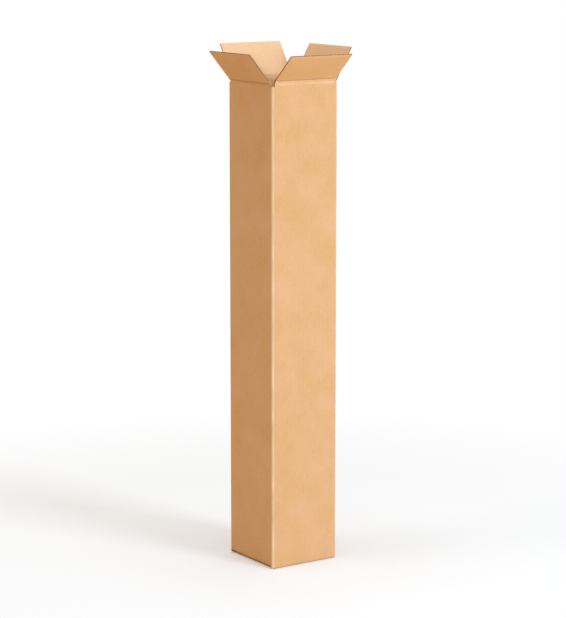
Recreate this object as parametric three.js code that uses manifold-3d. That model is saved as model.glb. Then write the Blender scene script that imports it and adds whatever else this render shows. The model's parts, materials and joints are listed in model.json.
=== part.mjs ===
// Tall square mailing carton, standing with its four top flaps open.
//
// The carton is one blank of single-wall corrugated board. It is folded into a square tube, glued
// down the back right corner with a lap, and its bottom flaps are folded in and glued. The body is
// one solid. Each top flap is a solid of its own, because it turns about its crease.
//
// Millimetres, +Z up. The origin is the centre of the square base. The front wall faces -Y and the
// left wall faces -X. Front and back carry the outer flaps. Left and right carry the inner flaps,
// which close first and lie beneath them.

import * as THREE from 'three';
import { mergeVertices } from 'three/addons/utils/BufferGeometryUtils.js';
import Module from 'manifold-3d';

// The tube
const side = 100; // outside width of the square section
const insideDepth = 610; // from the inner bottom flaps up to the closed inner top flaps
const boardThickness = 3;
const innerFoldRadius = 0.6; // inside radius of a folded edge; the outside adds the board

// The glued corner
const lapWidth = 32; // from the right wall's outer face to the lap's free edge
const lapShoulder = 2; // strip of the lap beside its fold that runs the full height
const lapEndMargin = 3; // from the end of the tube to the lap's end, beside the shoulder
const lapEndTaper = 8; // how much further in the lap ends at its free edge
const rawEdgeSetback = 0.5; // from the right wall's outer face back to the back wall's cut edge

// The flaps
const slotClearance = 1.2; // between a closed inner flap's side and the wall beside it
const slotOvercut = 1.5; // a slot runs on this far past the inner flaps' crease
const meetingGap = 1.6; // between the free edges of two opposite flaps when closed
const stackingPlay = 0.4; // between a closed inner flap and the outer flap above it
const creaseGap = 0.3; // between the mitred wall and the mitred flap when closed
const bottomSeamGap = 1; // between the free edges of two opposite bottom flaps
const glueBite = 0.05; // how far the inner bottom flaps press into the outer ones

// The corrugated medium, seen in the cut edges of the top flaps
const flutePitch = 6.3;
const linerThickness = 0.45;
const mediumThickness = 0.5;
const crushedLength = 7; // board pressed shut beside a crease
const fluteMargin = 1.4; // whole board left beside a flap's side cuts

// How far each top flap leans out from upright, in degrees
const frontFlapLean = 48;
const leftFlapLean = 40;
const backFlapLean = 33;
const rightFlapLean = 30;

// Facets
const foldSteps = 6; // along a quarter turn of a fold
const archSteps = 6; // across one flute
const archShare = 0.9; // of a flute's pitch that its hollow takes up
const weldDistance = 0.001; // corners closer than this are one corner

// What follows from the sizes above
const outerFoldRadius = innerFoldRadius + boardThickness;
const halfSide = side / 2;
const halfInside = halfSide - boardThickness;
const flapWidth = 2 * (halfInside - slotClearance);
const flapLength = (side - meetingGap) / 2;
const bottomFlapLength = (side - bottomSeamGap) / 2;
const innerBottomLevel = boardThickness - glueBite; // underside of the inner bottom flaps
const insideBottom = innerBottomLevel + boardThickness;
const innerCreaseHeight = insideBottom + insideDepth + boardThickness;
const outerCreaseHeight = innerCreaseHeight + stackingPlay + boardThickness;
const mitreShift = creaseGap * Math.SQRT1_2; // half the gap across a 45 degree cut, taken upright
const tubeBottom = outerFoldRadius;
const tubeTop = innerCreaseHeight - slotOvercut;
const headFoot = innerCreaseHeight - 2 * boardThickness; // where the mitred wall heads take over
const runIn = 1; // how far two shapes of the folded sheet reach into each other to be joined

const wasm = await Module();
wasm.setup();

// A closed geometry as a solid that can be joined and cut.
function toSolid(geometry) {
  const bare = geometry.clone();
  bare.deleteAttribute('normal');
  bare.deleteAttribute('uv');
  const merged = mergeVertices(bare, weldDistance);
  return new wasm.Manifold(
    new wasm.Mesh({
      numProp: 3,
      vertProperties: new Float32Array(merged.attributes.position.array),
      triVerts: new Uint32Array(merged.index.array),
    }),
  );
}

// A joined or cut solid as a flat-shaded geometry.
function toGeometry(solid) {
  const mesh = solid.getMesh();
  const shared = new THREE.BufferGeometry();
  shared.setAttribute('position', new THREE.BufferAttribute(mesh.vertProperties, 3));
  shared.setIndex(new THREE.BufferAttribute(mesh.triVerts, 1));
  const geometry = shared.toNonIndexed();
  geometry.computeVertexNormals();
  return geometry;
}

function polygon(points) {
  return new THREE.Shape(points.map(([x, y]) => new THREE.Vector2(x, y)));
}

function prism(outline, length) {
  return new THREE.ExtrudeGeometry(outline, {
    depth: length,
    bevelEnabled: false,
    curveSegments: foldSteps,
  });
}

// A prism on an outline drawn in X and Y, from one height to another.
function uprightPrism(outline, bottom, top) {
  return prism(outline, top - bottom).translate(0, 0, bottom);
}

// A prism on an outline drawn in Y and Z, centred on X = 0.
function crosswisePrism(outline, width) {
  const outlineToYZ = new THREE.Matrix4().makeBasis(
    new THREE.Vector3(0, 1, 0),
    new THREE.Vector3(0, 0, 1),
    new THREE.Vector3(1, 0, 0),
  );
  return prism(outline, width).translate(0, 0, -width / 2).applyMatrix4(outlineToYZ);
}

// What belongs to a wall is drawn for the front wall and turned to the others by quarter turns.
const quarter = Math.PI / 2;
const wallTurns = { front: 0, right: quarter, back: 2 * quarter, left: 3 * quarter };

function onWall(geometry, wall) {
  return geometry.translate(0, -halfSide, 0).rotateZ(wallTurns[wall]);
}

// The tube seen from above. Three corners are plain folds. At the back right corner the right wall
// folds round inside the back wall to become the lap, and the back wall ends there in a cut edge.
function tubeSection() {
  const R = outerFoldRadius;
  const r = innerFoldRadius;
  const rawEdge = halfSide - rawEdgeSetback;
  const lapEdge = halfSide - lapWidth;
  const lapInside = halfInside - boardThickness;

  const section = new THREE.Shape();
  section.moveTo(-halfSide + R, -halfSide);
  section.lineTo(halfSide - R, -halfSide);
  section.absarc(halfSide - R, -halfSide + R, R, -quarter, 0);
  section.lineTo(halfSide, halfInside - R);
  section.absarc(halfSide - R, halfInside - R, R, 0, quarter);
  section.lineTo(rawEdge, halfInside);
  section.lineTo(rawEdge, halfSide);
  section.lineTo(-halfSide + R, halfSide);
  section.absarc(-halfSide + R, halfSide - R, R, quarter, 2 * quarter);
  section.lineTo(-halfSide, -halfSide + R);
  section.absarc(-halfSide + R, -halfSide + R, R, 2 * quarter, 3 * quarter);

  const inside = new THREE.Path();
  inside.moveTo(-halfInside + r, -halfInside);
  inside.lineTo(halfInside - r, -halfInside);
  inside.absarc(halfInside - r, -halfInside + r, r, -quarter, 0);
  inside.lineTo(halfInside, lapInside - r);
  inside.absarc(halfInside - r, lapInside - r, r, 0, quarter);
  inside.lineTo(lapEdge, lapInside);
  inside.lineTo(lapEdge, halfInside);
  inside.lineTo(-halfInside + r, halfInside);
  inside.absarc(-halfInside + r, halfInside - r, r, quarter, 2 * quarter);
  inside.lineTo(-halfInside, -halfInside + r);
  inside.absarc(-halfInside + r, -halfInside + r, r, 2 * quarter, 3 * quarter);
  section.holes.push(inside);
  return section;
}

// What is cut away beyond one end of the lap, seen along Y: it ends at one height beside the
// shoulder and at another at its free edge.
function lapTrim(endAtShoulder, endAtFreeEdge, tubeEnd) {
  const shoulder = halfSide - outerFoldRadius - lapShoulder;
  const freeEdge = halfSide - lapWidth;
  const outline = polygon([
    [freeEdge, tubeEnd],
    [freeEdge, endAtFreeEdge],
    [shoulder, endAtShoulder],
    [shoulder, tubeEnd],
  ]);
  const trim = prism(outline, boardThickness + runIn).rotateX(quarter);
  return toSolid(trim.translate(0, halfInside, 0));
}

// A wall's foot and the bottom flap that folds in from it, seen along the fold.
function bottomFold(wall, level) {
  const t = boardThickness;
  const centre = outerFoldRadius;
  const top = level + outerFoldRadius + runIn;
  const outline = new THREE.Shape();
  outline.moveTo(0, top);
  outline.lineTo(0, level + outerFoldRadius);
  outline.absarc(centre, level + centre, outerFoldRadius, 2 * quarter, 3 * quarter);
  outline.lineTo(bottomFlapLength, level);
  outline.lineTo(bottomFlapLength, level + t);
  outline.lineTo(centre, level + t);
  outline.absarc(centre, level + centre, innerFoldRadius, 3 * quarter, 2 * quarter, true);
  outline.lineTo(t, top);
  return toSolid(onWall(crosswisePrism(outline, flapWidth), wall));
}

// The top of a wall between two slots, mitred towards the inside so that the flap can fold over.
function wallHead(wall, creaseHeight) {
  const outline = polygon([
    [0, headFoot - runIn],
    [boardThickness, headFoot - runIn],
    [boardThickness, creaseHeight - boardThickness - mitreShift],
    [0, creaseHeight - mitreShift],
  ]);
  return toSolid(onWall(crosswisePrism(outline, flapWidth), wall));
}

// What is cut out of the left and right walls between their slots, from one height to another.
function sideWallRoom(bottom, top) {
  const room = new THREE.BoxGeometry(side + 2 * runIn, flapWidth, top - bottom);
  return toSolid(room.translate(0, 0, (bottom + top) / 2));
}

function cartonBody() {
  const footTop = innerBottomLevel + outerFoldRadius;
  const lapTop = tubeTop - lapEndMargin;
  const lapBottom = footTop + lapEndMargin;
  return toSolid(uprightPrism(tubeSection(), tubeBottom, tubeTop))
    .subtract(lapTrim(lapTop, lapTop - lapEndTaper, tubeTop + runIn))
    .subtract(lapTrim(lapBottom, lapBottom + lapEndTaper, tubeBottom - runIn))
    .subtract(sideWallRoom(tubeBottom - runIn, footTop))
    .subtract(sideWallRoom(headFoot, tubeTop + runIn))
    .add(bottomFold('front', 0))
    .add(bottomFold('back', 0))
    .add(bottomFold('left', innerBottomLevel))
    .add(bottomFold('right', innerBottomLevel))
    .add(wallHead('front', outerCreaseHeight))
    .add(wallHead('back', outerCreaseHeight))
    .add(wallHead('left', innerCreaseHeight))
    .add(wallHead('right', innerCreaseHeight));
}

// The hollow under one arch of the medium. X runs along the crease and Y from the flap's outer
// face to its inner face. Every second hollow lies against the inner liner, upside down.
function fluteOutline(middle, againstInnerLiner) {
  const height = boardThickness - 2 * linerThickness - mediumThickness;
  const points = [];
  for (let step = 0; step <= archSteps; step += 1) {
    const x = archShare * flutePitch * (step / archSteps - 0.5);
    const y = linerThickness + (height / 2) * (1 + Math.cos((2 * Math.PI * x) / flutePitch));
    points.push([middle + x, againstInnerLiner ? boardThickness - y : y]);
  }
  return polygon(points);
}

// A top flap upright over its crease, which is the X axis, with its outer face at Y = 0. Its foot
// is mitred like the wall's head, and its flutes are open at the free edge.
function topFlap() {
  const outline = polygon([
    [0, mitreShift],
    [boardThickness, boardThickness + mitreShift],
    [boardThickness, flapLength],
    [0, flapLength],
  ]);
  let flap = toSolid(crosswisePrism(outline, flapWidth));
  const fluteCount = Math.floor((flapWidth - 2 * fluteMargin) / flutePitch);
  for (let half = 0; half < 2 * fluteCount - 1; half += 1) {
    const middle = (flutePitch / 2) * (half - fluteCount + 1);
    const flute = fluteOutline(middle, half % 2 === 1);
    flap = flap.subtract(toSolid(uprightPrism(flute, crushedLength, flapLength + runIn)));
  }
  return flap;
}

function boardMaterial(color) {
  return new THREE.MeshStandardMaterial({ color, roughness: 0.9, metalness: 0 });
}

const carton = new THREE.Group();
carton.name = 'mailing_carton';

const body = new THREE.Mesh(toGeometry(cartonBody()), boardMaterial(0xdcab74));
body.name = 'carton_body';
carton.add(body);

const flapGeometry = toGeometry(topFlap());

// A top flap on its wall, turned out about its crease.
function addTopFlap(name, wall, creaseHeight, lean, color) {
  const flap = new THREE.Mesh(flapGeometry, boardMaterial(color));
  flap.name = name;
  flap.position.set(0, -halfSide, creaseHeight);
  flap.rotation.x = THREE.MathUtils.degToRad(lean);
  const wallFrame = new THREE.Group();
  wallFrame.rotation.z = wallTurns[wall];
  wallFrame.add(flap);
  carton.add(wallFrame);
}

addTopFlap('front_outer_flap', 'front', outerCreaseHeight, frontFlapLean, 0xd9a76f);
addTopFlap('back_outer_flap', 'back', outerCreaseHeight, backFlapLean, 0xd9a76f);
addTopFlap('left_inner_flap', 'left', innerCreaseHeight, leftFlapLean, 0xd2a06a);
addTopFlap('right_inner_flap', 'right', innerCreaseHeight, rightFlapLean, 0xd2a06a);

export default carton;
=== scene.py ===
import json
import math

import bmesh
import bpy
from mathutils import Matrix, Vector, noise
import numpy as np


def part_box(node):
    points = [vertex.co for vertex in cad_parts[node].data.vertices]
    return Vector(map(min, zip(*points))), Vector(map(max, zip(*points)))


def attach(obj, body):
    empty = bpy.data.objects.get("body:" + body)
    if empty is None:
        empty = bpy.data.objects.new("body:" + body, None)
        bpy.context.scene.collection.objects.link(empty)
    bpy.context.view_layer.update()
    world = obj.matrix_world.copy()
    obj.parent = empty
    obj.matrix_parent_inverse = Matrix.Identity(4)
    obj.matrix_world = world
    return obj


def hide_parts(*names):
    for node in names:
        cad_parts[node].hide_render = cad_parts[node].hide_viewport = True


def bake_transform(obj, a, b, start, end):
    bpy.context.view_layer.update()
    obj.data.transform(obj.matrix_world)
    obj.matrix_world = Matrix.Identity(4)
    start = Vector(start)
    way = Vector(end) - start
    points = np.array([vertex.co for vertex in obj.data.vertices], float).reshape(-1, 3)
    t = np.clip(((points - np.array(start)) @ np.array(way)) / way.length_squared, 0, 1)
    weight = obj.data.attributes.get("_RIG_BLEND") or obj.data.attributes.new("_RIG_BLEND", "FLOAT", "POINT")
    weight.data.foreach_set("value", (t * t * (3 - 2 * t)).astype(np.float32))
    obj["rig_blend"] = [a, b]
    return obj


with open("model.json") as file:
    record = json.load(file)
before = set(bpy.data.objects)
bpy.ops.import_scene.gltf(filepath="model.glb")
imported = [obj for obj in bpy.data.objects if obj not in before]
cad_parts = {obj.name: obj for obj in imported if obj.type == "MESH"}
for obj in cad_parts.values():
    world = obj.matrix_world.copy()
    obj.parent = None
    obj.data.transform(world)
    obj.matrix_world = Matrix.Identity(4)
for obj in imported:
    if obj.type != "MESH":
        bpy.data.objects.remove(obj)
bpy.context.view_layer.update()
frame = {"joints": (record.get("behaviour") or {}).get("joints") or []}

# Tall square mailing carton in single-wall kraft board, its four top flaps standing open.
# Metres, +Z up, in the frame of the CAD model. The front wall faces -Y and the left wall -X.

MM = 0.001
HAIR = 0.025 * MM  # how near a vertex lies to a line that it is on

# The board: two liners on a fluted medium
BOARD = 3 * MM
LINER = 0.42 * MM
MEDIUM = 0.3 * MM
FLUTE_PITCH = 6.3 * MM
INNER_FOLD_RADIUS = 0.6 * MM
OUTER_FOLD_RADIUS = INNER_FOLD_RADIUS + BOARD
GLUE_LINE = 0.05 * MM

# The walls and top flaps, on their outer faces
HALF_SIDE = 50 * MM
HALF_FLAT = HALF_SIDE - OUTER_FOLD_RADIUS  # half a wall's width between its upright folds
HALF_PANEL = 45.8 * MM  # half a top flap's width, from slot to slot
FLAP_LENGTH = 49.2 * MM
SLOT_FOOT = 1.5 * MM  # how far the slots go down past the left and right creases
HEAD_STEP = 0.3 * MM  # the least height of wall above the slots' foot

# The glued lap and the bottom
RAW_EDGE = 49.5 * MM  # where the back wall's raw edge stands
LAP_EDGE = 18 * MM  # how far from the middle the lap's free edge stands
LAP_FACE = HALF_SIDE - BOARD - GLUE_LINE  # its outer face, glued to the back wall
LAP_END_MARGIN = 3 * MM  # how far its ends come in at the fold
LAP_END_TAPER = 8 * MM  # how much further they come in at its free edge
BOTTOM_FLAP_LENGTH = 49.5 * MM  # from the wall's outer face to the seam
INNER_BOTTOM_LEVEL = BOARD - GLUE_LINE  # where the inner bottom flaps lie on the outer ones
CORNER_FOOT = 1.6 * MM  # how high the upright folds end above the floor

# How finely the board is divided: rows and columns of faces, and the height of a wall's rows
FOLD_STEPS = 8
PANEL_STEPS = 12
LAP_STEPS = 4
WALL_STEP = 15 * MM
LINER_COLUMNS = 40
LINER_ROWS = 6
MEDIUM_ROWS = 4
FLUTE_STEPS = 14  # columns to each flute
CREASE_STEPS = 10
CUT_ANGLE = math.radians(35)  # an edge that turns by more is drawn sharp
LINER_CUT_ANGLE = math.radians(60)  # higher, because the creased liner turns sharply itself

# How far the panels stand out of flat, outwards where positive
PANEL_BOW = {"front": 0.35 * MM, "right": 0.3 * MM, "back": 0.4 * MM, "left": -0.5 * MM}
PANEL_RIPPLE = 0.15 * MM
RIPPLE_LENGTH = 90 * MM
FLAP_BOW = 0.35 * MM

# How far a knife presses the flaps' edges shut, and how far in from the cut
CRUSH_SHARE = 0.4
CRUSH_WIDTH = 2.2 * MM

# The creases: how the outer liner swells under the crease and is pressed in along it, as distances
# from the crease, up the flap where positive, and depths into the board
CREASE_PROFILE = [
    (distance * MM, depth * MM)
    for distance, depth in (
        (-5, 0.01),
        (-3.8, -0.06),
        (-2.8, -0.22),
        (-1.9, -0.24),
        (-1.1, 0.02),
        (-0.5, 0.4),
        (0.1, 0.8),
        (0.9, 0.85),
        (1.8, 0.45),
        (2.8, 0.12),
        (4.4, 0.03),
        (6, 0.01),
    )
]
CREASE_HALF = 4.4 * MM  # how far from its line the crease takes the place of the plain board
CREASE_REACH = 1.6 * MM  # how far from its line the outer liner bends
CREASE_FADE = 7 * MM  # how far from its ends the swell and its wear die away
CREASE_END_DEPTH = 0.05 * MM  # where the outer liner lies once the swell has died away
SCORE_DEPTH = 0.7 * MM  # how far in the inner liner is pressed

# Wear and painted light: the share of pale paper, worn and with a painted highlight on the folds and a
# painted highlight on the swell under the creases, and the painted shade in the line above each crease:
# its place above the crease, half its width and its tone
FOLD_WEAR_AND_HIGHLIGHT = 0.95
FOLD_ROUNDNESS = 1.3  # over 1, it widens the fully pale middle of a fold's wear and painted highlight
# the pale share on the swell under each crease is a painted highlight
CREASE_HIGHLIGHT = {"front": 0.35, "right": 0.1, "back": 0.35, "left": 0.1}
FOLD_PATCHES = {"size": 14 * MM, "mean": 0.7, "spread": 0.6}
CREASE_PATCHES = {"size": 11 * MM, "mean": 0.8, "spread": 0.8}
# the painted shade in the line above each crease, by wall, with its place, half its width and its tone
CREASE_SHADE = {"front": 1, "right": 0.6, "back": 1, "left": 0.6}
CREASE_SHADE_MIDDLE = 2.2 * MM
CREASE_SHADE_HALF = 2.6 * MM
CREASE_SHADE_TONE = 0.5

# The paper's patterns. Kraft fibres are about 3 mm long and only 0.03 mm wide, and shives are
# specks of a few tenths of a millimetre, so both are drawn coarser, to show in the render.
CLOUD_SIZE = 38 * MM
FORMATION_SIZE = 3.2 * MM
FIBRE_LENGTH = 4.5 * MM
FIBRE_WIDTH = 1.1 * MM
SHIVE_SPACING = 5.5 * MM
TORN_FIBRE_SIZE = 1.4 * MM
WASHBOARD_SHARE = 0.35  # how far the flutes lift the liner, next to its grain
LINER_RELIEF = 0.05 * MM
TORN_RELIEF = 0.2 * MM

# The photograph's eye point and the lens that lets the carton fill the frame
CAMERA_EYE = (-1.6353, -2.4099, 0.8424)
CAMERA_AIM = (0, 0, 0.327)
CAMERA_SENSOR = 36  # mm, as the lens
CAMERA_LENS = 134

# Light on a face turned to it, as a share of the level at which a colour renders as written. Each
# soft box has a name, a place, what it points at, its level and its colour.
SKY_LEVEL = 0.49
SKY_COLOUR = (1, 0.81, 0.64, 1)
SOFT_BOX_SIZE = 1.2
SOFT_BOXES = [
    ("front_soft_box", (1.1, -3.6, 1.25), (0, 0, 0.3), 0.69, (0.79, 0.9, 0.98)),
    ("overhead_soft_box", (0, 0, 2.6), (0, 0, 0.6), 0.42, (1, 0.99, 0.93)),
    ("left_soft_box", (-2.4, 0.6, 1.5), (0, 0, 0.4), 0.145, (1, 0.9, 0.84)),
]

# The floor: its cool colour turns white under the warm light, and its glow lifts the shadow
FLOOR_HALF = 12  # half its width
FLOOR_COLOUR = "#E4EEFA"
FLOOR_GLOW = 0.24
FLOOR_BOUNCE = "#E8D0AE"  # the colour that it sends back up to the carton
SHADOW_REACH = (0.35, 0.9)  # where the shadow starts to fade into plain white, and where it ends
WHITE = (1, 1, 1, 1)

WALLS = ("front", "right", "back", "left")  # by quarter turns from the front
BLANK_ORDER = ("back", "left", "front", "right")  # from the raw edge round to the lap
FLAP_NODES = {
    "front": "front_outer_flap",
    "right": "right_inner_flap",
    "back": "back_outer_flap",
    "left": "left_inner_flap",
}
HINGES = {joint["name"]: Vector(joint["pos_m"]) for joint in frame["joints"]}


def crease_of(wall):
    """The middle of a wall's crease, where its flap hinges."""
    return HINGES[f"{wall}_flap_crease"]


def tube_top():
    """The foot of the slots between the flaps."""
    return crease_of("left").z - SLOT_FOOT


def head_gap(wall):
    """How far under its crease a wall's full thickness ends."""
    return min(CREASE_HALF, crease_of(wall).z - tube_top() - HEAD_STEP)


def lean_of(wall):
    """How far a flap leans out from upright, from how far its CAD solid reaches past the wall."""
    low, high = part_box(FLAP_NODES[wall])
    reach = {"front": -low.y, "right": high.x, "back": high.y, "left": -low.x}[wall]
    return math.asin((reach - HALF_SIDE) / FLAP_LENGTH)


def wall_turn(wall, size=3):
    """The turn that takes the front wall to this one."""
    return Matrix.Rotation(WALLS.index(wall) * math.pi / 2, size, "Z")


def wall_frame(wall):
    """From a wall's own frame to the carton's: X along the crease, Y inwards, Z up from the crease."""
    return wall_turn(wall, 4) @ Matrix.Translation((0, -HALF_SIDE, crease_of(wall).z))


# Materials


def linear(hex_colour):
    """An sRGB hex colour as linear RGBA."""
    channels = [int(hex_colour[i : i + 2], 16) / 255 for i in (1, 3, 5)]
    return [c / 12.92 if c <= 0.04045 else ((c + 0.055) / 1.055) ** 2.4 for c in channels] + [1]


def add_node(owner, kind, inputs=None, **settings):
    """Adds a shader node to a material or world, sets its properties, and sets or links its inputs.
    An input that is given as a node takes the first of that node's outputs in use."""
    tree = owner.node_tree
    node = tree.nodes.new("ShaderNode" + kind)
    for name, value in settings.items():
        setattr(node, name, value)
    for name, value in (inputs or {}).items():
        if isinstance(value, bpy.types.Node):
            value = next(socket for socket in value.outputs if socket.enabled)
        if isinstance(value, bpy.types.NodeSocket):
            tree.links.new(value, node.inputs[name])
        else:
            node.inputs[name].default_value = value
    return node


def new_material(name):
    material = bpy.data.materials.new(name)
    material.use_nodes = True
    material.node_tree.nodes.clear()
    return material


def paper_grain(material, place):
    """Blotchy formation with fibres along the machine direction, which runs across the flutes."""
    formation = add_node(
        material,
        "TexNoise",
        {"Vector": place.outputs["Object"], "Scale": 1 / FORMATION_SIZE, "Detail": 4, "Roughness": 0.62},
    )
    stretched = add_node(
        material,
        "Mapping",
        {"Vector": place.outputs["UV"], "Scale": (1 / FIBRE_LENGTH, 1 / FIBRE_WIDTH, 1)},
    )
    fibres = add_node(
        material, "TexNoise", {"Vector": stretched, "Scale": 1, "Detail": 5, "Roughness": 0.7}
    )
    return add_node(material, "Math", {0: formation, 1: fibres}, operation="ADD")


def flute_wave(material, place):
    """A wave across the paper at the pitch of the flutes behind it."""
    split = add_node(material, "SeparateXYZ", {"Vector": place.outputs["UV"]})
    phase = add_node(
        material,
        "Math",
        {0: split.outputs["X"], 1: 2 * math.pi / FLUTE_PITCH},
        operation="MULTIPLY",
    )
    return add_node(material, "Math", {0: phase}, operation="COSINE")


def shade_by(material, colour, shade):
    """A colour times a shade, which darkens it below 1 and lightens it above."""
    return add_node(
        material,
        "Mix",
        {"Factor": 1, "A": colour, "B": shade},
        data_type="RGBA",
        blend_type="MULTIPLY",
    )


def kraft_paper(name, base, warm, pale):
    """Unbleached kraft paper, calendered on the machine: matt and cloudy brown, with long fibres,
    dark shives, and faint bands over the flutes. It is pale along the folds, where it is worn to its
    torn fibres and also given a painted highlight. It is pale on the swell under a crease as a painted
    highlight, and darker as painted shade in the line above a crease."""
    material = new_material(name)
    place = add_node(material, "TexCoord")
    grain = paper_grain(material, place)
    wave = flute_wave(material, place)
    cloud = add_node(
        material,
        "TexNoise",
        {"Vector": place.outputs["Object"], "Scale": 1 / CLOUD_SIZE, "Detail": 3, "Roughness": 0.55},
    )
    shives = add_node(
        material,
        "TexVoronoi",
        {"Vector": place.outputs["Object"], "Scale": 1 / SHIVE_SPACING, "Randomness": 1},
    )
    cloudy = add_node(material, "MapRange", {"Value": cloud, "From Min": 0.32, "From Max": 0.68})
    colour = add_node(
        material,
        "Mix",
        {"Factor": cloudy, "A": linear(base), "B": linear(warm)},
        data_type="RGBA",
    )
    for pattern, pattern_range, shade_range in (
        (grain, (0.7, 1.3), (0.945, 1.05)),
        (wave, (-1, 1), (0.993, 1.006)),
        (shives, (0.05, 0.1), (0.8, 1)),
    ):
        shade = add_node(
            material,
            "MapRange",
            {
                "Value": pattern,
                "From Min": pattern_range[0],
                "From Max": pattern_range[1],
                "To Min": shade_range[0],
                "To Max": shade_range[1],
            },
        )
        colour = shade_by(material, colour, shade)
    # pale paper by this attribute: wear and a painted highlight on the folds, a painted highlight under the
    # creases
    wear_and_highlight = add_node(material, "Attribute", attribute_name="wear_and_highlight")
    worn_and_highlit = add_node(
        material,
        "Mix",
        {"Factor": wear_and_highlight.outputs["Fac"], "A": colour, "B": linear(pale)},
        data_type="RGBA",
    )
    # darker paper by this attribute: painted shade in the line above each crease
    crease_shade = add_node(material, "Attribute", attribute_name="crease_shade")
    pressed = add_node(
        material,
        "MapRange",
        {"Value": crease_shade.outputs["Fac"], "To Min": 1, "To Max": CREASE_SHADE_TONE},
    )
    height = add_node(
        material, "Math", {0: wave, 1: WASHBOARD_SHARE, 2: grain}, operation="MULTIPLY_ADD"
    )
    relief = add_node(material, "Bump", {"Height": height, "Strength": 0.5, "Distance": LINER_RELIEF})
    shader = add_node(
        material,
        "BsdfPrincipled",
        {
            "Base Color": shade_by(material, worn_and_highlit, pressed),
            "Roughness": 0.82,
            "Specular IOR Level": 0.28,
            "IOR": 1.47,
            "Normal": relief,
        },
    )
    add_node(material, "OutputMaterial", {"Surface": shader})
    return material


def knife_cut_board(name, dark, light):
    """The edge that a knife leaves on kraft board: torn fibres, dull and fuzzy, in two browns."""
    material = new_material(name)
    place = add_node(material, "TexCoord")
    fuzz = add_node(
        material,
        "TexNoise",
        {"Vector": place.outputs["Object"], "Scale": 1 / TORN_FIBRE_SIZE, "Detail": 4, "Roughness": 0.7},
    )
    colour = add_node(
        material, "Mix", {"Factor": fuzz, "A": linear(dark), "B": linear(light)}, data_type="RGBA"
    )
    relief = add_node(material, "Bump", {"Height": fuzz, "Strength": 0.8, "Distance": TORN_RELIEF})
    shader = add_node(
        material,
        "BsdfPrincipled",
        {"Base Color": colour, "Roughness": 0.95, "Specular IOR Level": 0.15, "Normal": relief},
    )
    add_node(material, "OutputMaterial", {"Surface": shader})
    return material


OUTER_LINER = kraft_paper("kraft_liner_outer_face", base="#DAB280", warm="#E1B891", pale="#F8E3CB")
# The inner liner's paler colour is painted light, standing in for the strong light on the flaps' inner
# faces.
INNER_LINER = kraft_paper("kraft_liner_inner_face", base="#E4C39C", warm="#E8C4A2", pale="#F8E3CB")
CUT_BOARD = knife_cut_board("cut_single_wall_board", dark="#A0764A", light="#D3A676")
FLUTED_MEDIUM = kraft_paper("fluting_medium", base="#C99D6E", warm="#BD9062", pale="#D3AA7B")

# The material slots of every piece, and what lies between the liners on walls and on flaps
OUTER, BETWEEN, INNER = range(3)
BOARD_MATERIALS = [OUTER_LINER, CUT_BOARD, INNER_LINER]
FLAP_MATERIALS = [OUTER_LINER, FLUTED_MEDIUM, INNER_LINER]


# Making pieces


def new_object(name, bm, materials):
    """An object at the origin, with its place in its mesh."""
    mesh = bpy.data.meshes.new(name)
    bm.to_mesh(mesh)
    bm.free()
    for material in materials:
        mesh.materials.append(material)
    made = bpy.data.objects.new(name, mesh)
    bpy.context.scene.collection.objects.link(made)
    return made


def new_piece(name, bm, materials=BOARD_MATERIALS):
    """A piece of the carton."""
    piece = new_object(name, bm, materials)
    return piece


def thicken(piece, thickness):
    """Gives a sheet its thickness behind its outer face, with the cut edges and the inner face
    in their own materials."""
    board = piece.modifiers.new("board", "SOLIDIFY")
    board.thickness = thickness
    board.offset = -1
    board.use_even_offset = True
    board.material_offset_rim = BETWEEN
    board.material_offset = INNER
    graph = bpy.context.evaluated_depsgraph_get()
    solid = bpy.data.meshes.new_from_object(piece.evaluated_get(graph))
    piece.modifiers.clear()
    piece.data = solid


def crisp(piece, angle=CUT_ANGLE):
    """Smooth over folds, sharp at cuts."""
    piece.data.shade_smooth()
    piece.data.set_sharp_from_angle(angle=angle)


def verts_of(parts):
    """The vertices of some edges or faces, each one once."""
    return list({vert for part in parts for vert in part.verts})


def step_to(bm, vert, point):
    """A new vertex at a point, joined to another by an edge."""
    made = bmesh.ops.extrude_vert_indiv(bm, verts=[vert])["verts"][0]
    made.co = point
    return made


def draw_line(bm, points):
    """A line of edges through points, and its vertices in order."""
    verts = list(bmesh.ops.create_vert(bm, co=points[0])["vert"])
    for point in points[1:]:
        verts.append(step_to(bm, verts[-1], point))
    return verts


def carry(bm, edges, move):
    """Carries edges of a sheet on by a straight move and returns the new ones."""
    made = bmesh.ops.extrude_edge_only(bm, edges=edges)["geom"]
    moved = {part for part in made if isinstance(part, bmesh.types.BMVert)}
    bmesh.ops.translate(bm, verts=list(moved), vec=move)
    return [e for e in made if isinstance(e, bmesh.types.BMEdge) and moved.issuperset(e.verts)]


def face_outwards(bm):
    """Turns a sheet's faces outwards, so that the one furthest to the front faces the front."""
    bmesh.ops.recalc_face_normals(bm, faces=bm.faces)
    front = min(bm.faces, key=lambda face: face.calc_center_median().y)
    if front.normal.y > 0:
        bmesh.ops.reverse_faces(bm, faces=bm.faces)


def lay_flat(bm, across, along):
    """UV map in metres on the flat blank: U across the flutes and V along them."""
    uv = bm.loops.layers.uv.new("blank")
    for face in bm.faces:
        for loop in face.loops:
            loop[uv].uv = (across(loop.vert), along(loop.vert))


def lay_on_blank(bm, wall):
    """UV map of a piece that is still in its wall's own frame."""
    width = 2 * HALF_FLAT + OUTER_FOLD_RADIUS * math.pi / 2
    middle = RAW_EDGE + width * BLANK_ORDER.index(wall)
    height = crease_of(wall).z
    lay_flat(bm, lambda vert: middle + vert.co.x, lambda vert: height + vert.co.z)


def patchy(place, size, mean, spread):
    """A share that varies about its mean in patches."""
    return mean + spread * noise.noise(place / size)


# The body: one folded sheet


def on_panel(edge, wall):
    """Whether an edge lies across a wall between its slots."""
    for vert in edge.verts:
        local = wall_turn(wall).inverted() @ vert.co
        if abs(local.x) > HALF_PANEL + HAIR or local.y > -HALF_SIDE + BOARD / 2:
            return False
    return True


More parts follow.
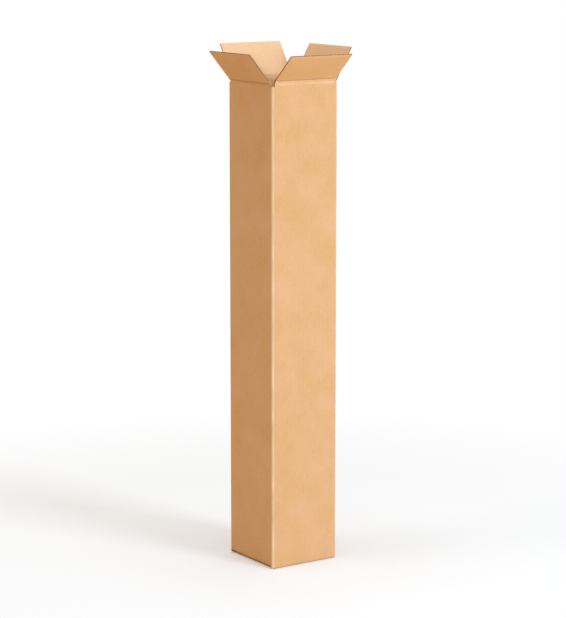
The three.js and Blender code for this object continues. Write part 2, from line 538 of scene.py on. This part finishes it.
def folded_tube(foot):
    """The outer face's line round the tube, from the back wall's raw edge to the lap's free edge."""
    bm = bmesh.new()
    girth = bm.verts.layers.float.new("girth")
    run = bm.verts.layers.float.new("run")
    chain = list(bmesh.ops.create_vert(bm, co=(RAW_EDGE, HALF_SIDE, foot))["vert"])

    def straight(wall, x, y=-HALF_SIDE, steps=1):
        """Carries the line on to a point of a wall."""
        start = chain[-1].co.copy()
        end = wall_turn(wall) @ Vector((x, y, foot))
        for step in range(steps):
            chain.append(step_to(bm, chain[-1], start.lerp(end, (step + 1) / steps)))

    def fold(wall, x):
        """Takes the line round the fold that starts at this place on a wall."""
        start = chain[-1].co.copy()
        known = set(bm.verts)
        bmesh.ops.spin(
            bm,
            geom=chain[-1:],
            cent=wall_turn(wall) @ Vector((x, -HALF_FLAT, foot)),
            axis=(0, 0, 1),
            angle=math.pi / 2,
            steps=FOLD_STEPS,
        )
        made = [vert for vert in bm.verts if vert not in known]
        chain.extend(sorted(made, key=lambda vert: (vert.co - start).length))

    for wall in BLANK_ORDER[:-1]:
        straight(wall, -HALF_PANEL)
        straight(wall, HALF_PANEL, steps=PANEL_STEPS)
        straight(wall, HALF_FLAT)
        fold(wall, HALF_FLAT)
    last = BLANK_ORDER[-1]
    lap_fold = LAP_FACE - OUTER_FOLD_RADIUS
    straight(last, -HALF_PANEL)
    straight(last, lap_fold, steps=PANEL_STEPS)
    fold(last, lap_fold)
    straight(last, LAP_FACE, -LAP_EDGE, LAP_STEPS)

    length = 0
    for before, after in zip(chain, chain[1:]):
        length += (after.co - before.co).length
        after[girth] = length
    for vert in chain:
        vert[run] = vert.co.z
    return bm


def pull(bm, edges, move):
    """Carries edges of the sheet up or down the blank, where the bottom flaps lie below the walls,
    and returns the new ones."""
    run = bm.verts.layers.float["run"]
    added = Vector(move).length if move[2] > 0 else -Vector(move).length
    far = carry(bm, edges, move)
    for vert in verts_of(far):
        vert[run] += added
    return far


def raise_walls(bm, belt, foot):
    """Carries the walls up to the foot of the slots, and then each one to its own crease."""
    rise = tube_top() - foot
    rows = round(rise / WALL_STEP)
    upper = belt
    for _ in range(rows):
        upper = pull(bm, upper, (0, 0, rise / rows))
    for wall in WALLS:
        head = [edge for edge in upper if on_panel(edge, wall)]
        pull(bm, head, (0, 0, crease_of(wall).z - head_gap(wall) - tube_top()))


def bottom_flap(bm, wall, edges, level):
    """Folds a wall's foot in and carries it on to the seam."""
    run = bm.verts.layers.float["run"]
    turn = wall_turn(wall)
    spun = bmesh.ops.spin(
        bm,
        geom=edges + verts_of(edges),
        cent=turn @ Vector((0, -HALF_FLAT, level + OUTER_FOLD_RADIUS)),
        axis=turn @ Vector((1, 0, 0)),
        angle=math.pi / 2,
        steps=FOLD_STEPS,
    )
    last = [part for part in spun["geom_last"] if isinstance(part, bmesh.types.BMEdge)]
    for vert in verts_of(last):
        vert[run] -= OUTER_FOLD_RADIUS * math.pi / 2
    pull(bm, last, turn @ Vector((0, BOTTOM_FLAP_LENGTH - OUTER_FOLD_RADIUS, 0)))


def close_bottom(bm, belt, foot):
    """Folds the left and right bottom flaps in, and the front and back ones under them."""
    inner = {wall: [edge for edge in belt if on_panel(edge, wall)] for wall in ("left", "right")}
    beyond = [edge for edge in belt if edge not in inner["left"] + inner["right"]]
    lower = pull(bm, beyond, (0, 0, OUTER_FOLD_RADIUS - foot))
    outer = {wall: [edge for edge in lower if on_panel(edge, wall)] for wall in ("front", "back")}
    corners = [edge for edge in lower if edge not in outer["front"] + outer["back"]]
    pull(bm, corners, (0, 0, CORNER_FOOT - OUTER_FOLD_RADIUS))
    for wall, edges in outer.items():
        bottom_flap(bm, wall, edges, 0)
    for wall, edges in inner.items():
        bottom_flap(bm, wall, edges, INNER_BOTTOM_LEVEL)


def taper_lap(bm, foot):
    """Brings the lap's two ends in, more so towards its free edge."""
    for vert in bm.verts:
        if abs(vert.co.y - LAP_FACE) < HAIR and vert.co.x < HALF_FLAT + HAIR:
            inset = (HALF_FLAT - vert.co.x) / (HALF_FLAT - LAP_EDGE)
            margin = LAP_END_MARGIN + LAP_END_TAPER * inset
            vert.co.z = min(tube_top() - margin, max(foot + margin, vert.co.z))


def bow_panels(bm, foot):
    """Bows each wall a little between its folds, with a slow ripple up its height."""
    for vert in bm.verts:
        for wall in WALLS:
            turn = wall_turn(wall)
            local = turn.inverted() @ vert.co
            if abs(local.x) < HALF_FLAT and abs(local.y + HALF_SIDE) < HAIR:
                height = min(1, max(0, (local.z - foot) / (tube_top() - foot)))
                share = math.cos(math.pi / 2 * local.x / HALF_FLAT) * math.sin(math.pi * height)
                ripple = PANEL_RIPPLE * noise.noise(vert.co / RIPPLE_LENGTH)
                vert.co += turn @ Vector((0, -share * (PANEL_BOW[wall] + ripple), 0))
                break


def mark_fold_wear_and_highlight(mesh):
    """Paler paper along the upright folds: partly wear, where the liner is stretched over the fold, and
    partly a painted highlight on the round of the fold.
    """
    wear_and_highlight = mesh.attributes.new("wear_and_highlight", "FLOAT", "POINT")
    for index, vert in enumerate(mesh.vertices):
        x, y = abs(vert.co.x) - HALF_FLAT, abs(vert.co.y) - HALF_FLAT
        if x > 0 and y > 0:
            round_fold = min(1, FOLD_ROUNDNESS * math.sin(2 * math.atan2(y, x)) ** 2)
            wear_and_highlight.data[index].value = FOLD_WEAR_AND_HIGHLIGHT * round_fold * patchy(vert.co, **FOLD_PATCHES)


def carton_walls():
    """Walls, glued lap and closed bottom, folded from one sheet of board."""
    foot = INNER_BOTTOM_LEVEL + OUTER_FOLD_RADIUS
    bm = folded_tube(foot)
    belt = list(bm.edges)
    raise_walls(bm, belt, foot)
    close_bottom(bm, belt, foot)
    taper_lap(bm, foot)
    bow_panels(bm, foot)
    face_outwards(bm)
    girth = bm.verts.layers.float["girth"]
    run = bm.verts.layers.float["run"]
    lay_flat(bm, lambda vert: vert[girth], lambda vert: vert[run])
    piece = new_piece("carton_walls", bm)
    thicken(piece, BOARD)
    mark_fold_wear_and_highlight(piece.data)
    crisp(piece)
    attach(piece, "carton")
    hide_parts("carton_body")


# The top flaps


def add_paper(bm, columns, rows, face, thickness, slot, wave=0):
    """A sheet of paper upright over the crease, with its outer face at a depth into the board.
    A wave folds it into flutes of that height."""
    earlier = set(bm.faces)
    height = FLAP_LENGTH - CREASE_HALF
    grid = bmesh.ops.create_grid(bm, x_segments=columns, y_segments=rows, size=0.5)["verts"]
    place = Matrix.Translation((0, face, CREASE_HALF + height / 2))
    upright = Matrix.Rotation(math.pi / 2, 4, "X")
    size = Matrix.Diagonal((2 * HALF_PANEL, height, 1, 1))
    bmesh.ops.transform(bm, matrix=place @ upright @ size, verts=grid)
    # two more rows by the free edge let it be pinched
    for inset in (CRUSH_WIDTH, CRUSH_WIDTH / 2):
        sheet = [item for item in bm.faces if item not in earlier]
        edges = {edge for item in sheet for edge in item.edges}
        bmesh.ops.bisect_plane(
            bm,
            geom=[*sheet, *edges, *verts_of(sheet)],
            plane_co=(0, 0, FLAP_LENGTH - inset),
            plane_no=(0, 0, 1),
        )
    sheet = [item for item in bm.faces if item not in earlier]
    for vert in verts_of(sheet):
        vert.co.y += wave / 2 * (1 + math.cos(2 * math.pi * vert.co.x / FLUTE_PITCH))
    bmesh.ops.solidify(bm, geom=sheet, thickness=thickness)
    sheet = [item for item in bm.faces if item not in earlier]
    bmesh.ops.recalc_face_normals(bm, faces=sheet)
    for item in sheet:
        item.material_index = slot


def press_edges(verts):
    """Pinches a flap's thickness at its cuts, half as far in at its sides, and bows its middle."""
    for vert in verts:
        to_cut = min(FLAP_LENGTH - vert.co.z, (HALF_PANEL - abs(vert.co.x)) * 2)
        nearness = max(0, 1 - to_cut / CRUSH_WIDTH)
        vert.co.y += (BOARD / 2 - vert.co.y) * CRUSH_SHARE * nearness**2
        rise = math.sin(math.pi * vert.co.z / FLAP_LENGTH)
        vert.co.y -= FLAP_BOW * rise * math.cos(math.pi / 2 * vert.co.x / HALF_PANEL)


def top_flap(wall):
    """One flap: two liners on a fluted medium that is open at the cut edges."""
    bm = bmesh.new()
    flute_height = BOARD - 2 * LINER - MEDIUM
    medium_columns = round(2 * HALF_PANEL / FLUTE_PITCH * FLUTE_STEPS)
    add_paper(bm, LINER_COLUMNS, LINER_ROWS, 0, LINER, OUTER)
    add_paper(bm, LINER_COLUMNS, LINER_ROWS, BOARD - LINER, LINER, INNER)
    add_paper(bm, medium_columns, MEDIUM_ROWS, LINER, MEDIUM, BETWEEN, flute_height)
    press_edges(bm.verts)
    lay_on_blank(bm, wall)
    place = wall_frame(wall) @ Matrix.Rotation(lean_of(wall), 4, "X")
    bmesh.ops.transform(bm, matrix=place, verts=bm.verts)
    piece = new_piece(f"{wall}_top_flap", bm, FLAP_MATERIALS)
    crisp(piece)
    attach(piece, f"{wall}_flap")
    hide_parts(FLAP_NODES[wall])


# The creases between walls and top flaps


def bend_with(piece, wall, start, end):
    """Lets a crease piece bend between the walls and a flap, between two points of the wall's frame."""
    place = wall_frame(wall)
    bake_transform(piece, "carton", f"{wall}_flap", start=place @ start, end=place @ end)


def core_section(wall, wall_end, flap_end):
    """The pressed board's outline: up the inner face, and back down behind the outer liner."""
    lean = lean_of(wall)
    tilt = Matrix.Rotation(lean, 3, "X")
    behind_liner = LINER / 2
    points = [wall_end]
    for step in range(CREASE_STEPS + 1):
        share = step / CREASE_STEPS
        radius = BOARD - SCORE_DEPTH * math.sin(math.pi * share) ** 2
        points.append(Matrix.Rotation(lean * share, 3, "X") @ Vector((0, radius, 0)))
    points += [flap_end, tilt @ Vector((0, behind_liner, CREASE_HALF))]
    for distance, depth in reversed(CREASE_PROFILE):
        point = Vector((0, depth + behind_liner, distance))
        if 0 < distance < CREASE_HALF:
            points.append(tilt @ point)
        elif -head_gap(wall) < distance < 0:
            points.append(point)
    points.append(Vector((0, behind_liner, -head_gap(wall))))
    return points


def crease_core(wall):
    """The board pressed into the crease, seen from inside the carton."""
    wall_end = Vector((0, BOARD, -head_gap(wall)))
    flap_end = Matrix.Rotation(lean_of(wall), 3, "X") @ Vector((0, BOARD, CREASE_HALF))
    bm = bmesh.new()
    outline = draw_line(bm, core_section(wall, wall_end, flap_end))
    section = bmesh.ops.contextual_create(bm, geom=outline)["faces"]
    made = bmesh.ops.extrude_face_region(bm, geom=section)["geom"]
    far = [part for part in made if isinstance(part, bmesh.types.BMVert)]
    bmesh.ops.translate(bm, verts=far, vec=(2 * HALF_PANEL, 0, 0))
    bmesh.ops.translate(bm, verts=bm.verts, vec=(-HALF_PANEL, 0, 0))
    bmesh.ops.recalc_face_normals(bm, faces=bm.faces)
    # its two ends are cut board, by the slots
    for face in bm.faces:
        face.material_index = BETWEEN if abs(face.normal.x) > 0.5 else INNER
    lay_on_blank(bm, wall)
    bmesh.ops.transform(bm, matrix=wall_frame(wall), verts=bm.verts)
    piece = new_piece(f"{wall}_crease_core", bm)
    crisp(piece)
    bend_with(piece, wall, wall_end, flap_end)


def mark_crease(bm, wall):
    """Painted highlight on the swell under a crease, and painted shade in the line above it."""
    wear_and_highlight = bm.verts.layers.float["wear_and_highlight"]
    crease_shade = bm.verts.layers.float["crease_shade"]
    swell = -min(depth for _, depth in CREASE_PROFILE)
    for vert in bm.verts:
        from_end = min(1, (HALF_PANEL - abs(vert.co.x)) / CREASE_FADE)
        patch = patchy(vert.co + crease_of(wall), **CREASE_PATCHES)
        # painted highlight on the swell under the crease
        vert[wear_and_highlight] = CREASE_HIGHLIGHT[wall] * patch * from_end * max(0, -vert.co.y / swell)
        # painted shade along the line above the crease
        vert[crease_shade] = CREASE_SHADE[wall] * max(0, 1 - abs(vert.co.z - CREASE_SHADE_MIDDLE) / CREASE_SHADE_HALF)


def flatten_crease_ends(verts):
    """Lets the swell under a crease die away before the slots."""
    for vert in verts:
        from_end = (HALF_PANEL - abs(vert.co.x)) / CREASE_FADE
        if vert.co.y < 0 and from_end < 1:
            swell = vert.co.y - CREASE_END_DEPTH
            vert.co.y = CREASE_END_DEPTH + swell * max(0, from_end)


def follow_lap_fold(verts):
    """Takes the right crease's back end in with the fold, which starts early there to reach the lap."""
    fold_start = LAP_FACE - OUTER_FOLD_RADIUS
    for vert in verts:
        past = vert.co.x - fold_start
        if past > 0:
            setback = OUTER_FOLD_RADIUS - math.sqrt(OUTER_FOLD_RADIUS**2 - past**2)
            vert.co.y += setback * min(1, max(0, 1 - vert.co.z / CREASE_HALF))


def crease_liner(wall):
    """The outer liner across the crease: swollen under it, with a painted highlight on the swell, and
    pressed in above it, with painted shade along that line.
    """
    lean = lean_of(wall)
    bm = bmesh.new()
    bm.verts.layers.float.new("wear_and_highlight")
    bm.verts.layers.float.new("crease_shade")
    draw_line(bm, [(-HALF_PANEL, depth, distance) for distance, depth in CREASE_PROFILE])
    row = list(bm.edges)
    for _ in range(LINER_COLUMNS):
        row = carry(bm, row, (2 * HALF_PANEL / LINER_COLUMNS, 0, 0))
    mark_crease(bm, wall)
    on_wall = [vert for vert in bm.verts if vert.co.z <= 0]
    on_flap = [vert for vert in bm.verts if vert.co.z > 0]
    flatten_crease_ends(on_wall)
    press_edges(on_flap)
    bmesh.ops.rotate(bm, verts=on_flap, cent=(0, 0, 0), matrix=Matrix.Rotation(lean, 3, "X"))
    if wall == BLANK_ORDER[-1]:
        follow_lap_fold(bm.verts)
    face_outwards(bm)
    lay_on_blank(bm, wall)
    bmesh.ops.transform(bm, matrix=wall_frame(wall), verts=bm.verts)
    piece = new_piece(f"{wall}_crease_liner", bm)
    thicken(piece, LINER)
    crisp(piece, LINER_CUT_ANGLE)
    middle = Vector((0, -math.sin(lean / 2), math.cos(lean / 2)))
    bend_with(piece, wall, -CREASE_REACH * middle, CREASE_REACH * middle)


# Floor, light and camera


def seen_directly(owner):
    """1 where the camera looks, also by way of gloss or glass, and 0 for light on the carton."""
    path = add_node(owner, "LightPath")
    glossy = add_node(
        owner,
        "Math",
        {0: path.outputs["Is Camera Ray"], 1: path.outputs["Is Glossy Ray"]},
        operation="MAXIMUM",
    )
    return add_node(
        owner, "Math", {0: glossy, 1: path.outputs["Is Transmission Ray"]}, operation="MAXIMUM"
    )


def white_sweep():
    """White backdrop paper, uncoated and matt. To the camera it keeps the carton's soft shadow and
    is plain white further out, and to the carton it is a soft warm bounce."""
    material = new_material("white_paper_sweep")
    paper = add_node(
        material,
        "BsdfPrincipled",
        {
            "Base Color": linear(FLOOR_COLOUR),
            "Roughness": 0.9,
            "Specular IOR Level": 0,
            "Emission Color": WHITE,
            "Emission Strength": FLOOR_GLOW,
        },
    )
    place = add_node(material, "TexCoord")
    distance = add_node(material, "VectorMath", {0: place.outputs["Object"]}, operation="LENGTH")
    beyond = add_node(
        material,
        "MapRange",
        {"Value": distance, "From Min": SHADOW_REACH[0], "From Max": SHADOW_REACH[1]},
        interpolation_type="SMOOTHSTEP",
    )
    plain = add_node(material, "Emission", {"Color": WHITE, "Strength": 1})
    sweep = add_node(material, "MixShader", {0: beyond, 1: paper, 2: plain})
    bounce = add_node(material, "BsdfDiffuse", {"Color": linear(FLOOR_BOUNCE)})
    mixed = add_node(material, "MixShader", {0: seen_directly(material), 1: bounce, 2: sweep})
    add_node(material, "OutputMaterial", {"Surface": mixed})
    return material


def pale_floor():
    """The sweep, flat and wide enough to reach past every view of the carton."""
    bm = bmesh.new()
    bmesh.ops.create_grid(bm, x_segments=1, y_segments=1, size=FLOOR_HALF)
    new_object("floor", bm, [white_sweep()])


def white_surroundings():
    """Soft light from all round that the camera sees as plain white."""
    world = bpy.data.worlds.new("studio")
    bpy.context.scene.world = world
    world.use_nodes = True
    world.node_tree.nodes.clear()
    soft = add_node(world, "Background", {"Color": SKY_COLOUR, "Strength": SKY_LEVEL})
    white = add_node(world, "Background", {"Color": WHITE, "Strength": 1})
    mixed = add_node(world, "MixShader", {0: seen_directly(world), 1: soft, 2: white})
    add_node(world, "OutputWorld", {"Surface": mixed})


def soft_box(name, place, target, level, colour):
    """A square soft box, with the power that lights a face turned to it to a share of the plain
    level, which falls with the square of its distance."""
    sight = Vector(target) - Vector(place)
    light = bpy.data.lights.new(name, "AREA")
    light.size = SOFT_BOX_SIZE
    light.energy = level * (math.pi * sight.length) ** 2
    light.color = colour
    lamp = bpy.data.objects.new(name, light)
    bpy.context.scene.collection.objects.link(lamp)
    lamp.location = place
    lamp.rotation_euler = sight.to_track_quat("-Z", "Y").to_euler()


def photo_camera():
    """The photograph's eye point, turned to the carton, with a lens that lets it fill the frame."""
    data = bpy.data.cameras.new("camera")
    data.sensor_width = CAMERA_SENSOR
    data.lens = CAMERA_LENS
    camera = bpy.data.objects.new("camera", data)
    bpy.context.scene.collection.objects.link(camera)
    sight = Vector(CAMERA_AIM) - Vector(CAMERA_EYE)
    camera.location = CAMERA_EYE
    camera.rotation_euler = sight.to_track_quat("-Z", "Y").to_euler()
    bpy.context.scene.camera = camera


carton_walls()
for wall in WALLS:
    top_flap(wall)
    crease_core(wall)
    crease_liner(wall)

pale_floor()
white_surroundings()
for settings in SOFT_BOXES:
    soft_box(*settings)
photo_camera()
bpy.context.scene.view_settings.view_transform = "Standard"
